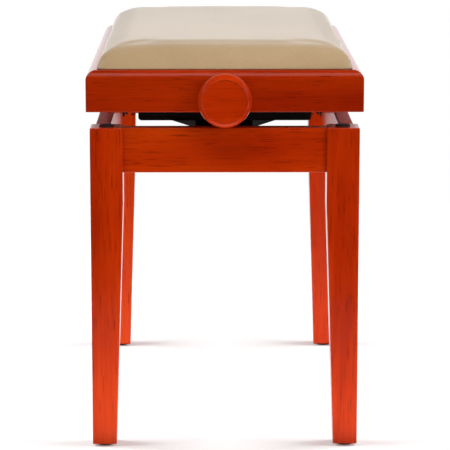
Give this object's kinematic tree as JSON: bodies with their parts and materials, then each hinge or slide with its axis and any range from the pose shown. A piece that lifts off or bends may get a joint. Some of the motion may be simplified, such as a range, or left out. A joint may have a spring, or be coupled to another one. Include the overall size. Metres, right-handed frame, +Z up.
{
  "type": "piano bench",
  "caption": "Wooden piano bench with a padded seat raised over its leg frame by a steel scissor lift, worked by turning a round knob on either end.",
  "frame": {"origin": "on the floor, under the middle of the bench", "axes": "+Z up, +Y along the seat towards its rear end, +X across the seat; the end with the nearer knob faces -Y"},
  "size_m": [0.33, 0.61, 0.49],
  "materials": {
    "lacquered_wood": "cherry-stained hardwood under gloss lacquer",
    "bare_wood": "plain sawn softwood",
    "plywood": "birch plywood, sanded",
    "black_steel": "black powder coat over pressed steel",
    "zinc_steel": "bright zinc plating",
    "bare_steel": "machined steel, lightly oiled",
    "nylon": "natural nylon",
    "black_rubber": "black rubber, matt",
    "velvet": "short beige velvet",
    "foam": "upholstery foam",
    "dust_cloth": "thin black non-woven cloth"
  },
  "bodies": {
    "leg_frame": {"leg_front_left": "lacquered_wood", "leg_front_right": "lacquered_wood", "leg_rear_left": "lacquered_wood", "leg_rear_right": "lacquered_wood", "foot_glide_front_left": "black_rubber", "foot_glide_front_right": "black_rubber", "foot_glide_rear_left": "black_rubber", "foot_glide_rear_right": "black_rubber", "top_bumper_front_left": "black_rubber", "top_bumper_front_right": "black_rubber", "top_bumper_rear_left": "black_rubber", "top_bumper_rear_right": "black_rubber", "corner_brace_front_left": "black_steel", "corner_brace_front_right": "black_steel", "corner_brace_rear_left": "black_steel", "corner_brace_rear_right": "black_steel", "end_apron_front": "lacquered_wood", "end_apron_rear": "lacquered_wood", "side_apron_left": "lacquered_wood", "side_apron_right": "lacquered_wood", "hanger_bolts": "zinc_steel", "wing_nuts": "zinc_steel", "brace_screws": "zinc_steel", "channel_screws": "zinc_steel", "lower_channel": "black_steel", "lower_pivot_pin": "zinc_steel"},
    "seat": {"seat_rail_front": "lacquered_wood", "end_bracket_front": "black_steel", "spindle_bush_front": "nylon", "seat_rail_rear": "lacquered_wood", "end_bracket_rear": "black_steel", "spindle_bush_rear": "nylon", "seat_rail_left": "lacquered_wood", "upper_rail_left": "black_steel", "seat_rail_right": "lacquered_wood", "upper_rail_right": "black_steel", "bracket_screws": "zinc_steel", "board_screws": "zinc_steel", "rail_cleats": "black_steel", "rail_rivets": "zinc_steel", "upper_pivot_pins": "zinc_steel", "corner_blocks": "bare_wood", "seat_board": "plywood", "seat_foam": "foam", "seat_cover": "velvet", "dust_cover": "dust_cloth"},
    "inner_arm": {"inner_arm": "black_steel", "centre_pivots": "zinc_steel", "pivot_washers": "nylon"},
    "outer_arms": {"outer_arm_left": "black_steel", "outer_arm_right": "black_steel", "lower_slide_rod": "zinc_steel", "lower_slide_bushes": "nylon"},
    "nut_carriage": {"nut_bar": "bare_steel", "upper_slide_bushes": "nylon"},
    "screw": {"spindle": "bare_steel", "knob_front": "lacquered_wood", "knob_rear": "lacquered_wood", "knob_pins": "zinc_steel", "thrust_collars": "bare_steel"}
  },
  "joints": [
    {"name": "seat_lift", "type": "slide", "parent": "leg_frame", "child": "seat", "axis": [0, 0, 1], "range_m": [-0.017, 0.083]},
    {"name": "inner_arm_tilt", "type": "hinge", "parent": "leg_frame", "child": "inner_arm", "pos_m": [0, -0.20685, 0.354], "axis": [1, 0, 0], "range_deg": [-2.5, 11.83]},
    {"name": "outer_arm_tilt", "type": "hinge", "parent": "seat", "child": "outer_arms", "pos_m": [0, -0.20685, 0.4265], "axis": [1, 0, 0], "range_deg": [-11.83, 2.5]},
    {"name": "nut_bar_tilt", "type": "hinge", "parent": "inner_arm", "child": "nut_carriage", "pos_m": [0, 0.20685, 0.4265], "axis": [1, 0, 0], "range_deg": [-11.83, 2.5]},
    {"name": "screw_turn", "type": "hinge", "parent": "seat", "child": "screw", "pos_m": [0, 0, 0.4265], "axis": [0, 1, 0], "range_deg": [-533.87, 2606.14]}
  ],
  "couplings": [
    {"joint": "inner_arm_tilt", "follows": "seat_lift", "rad_per_m": 2.4667},
    {"joint": "outer_arm_tilt", "follows": "seat_lift", "rad_per_m": -2.4667},
    {"joint": "nut_bar_tilt", "follows": "seat_lift", "rad_per_m": -2.4667},
    {"joint": "screw_turn", "follows": "seat_lift", "rad_per_m": 548}
  ]
}
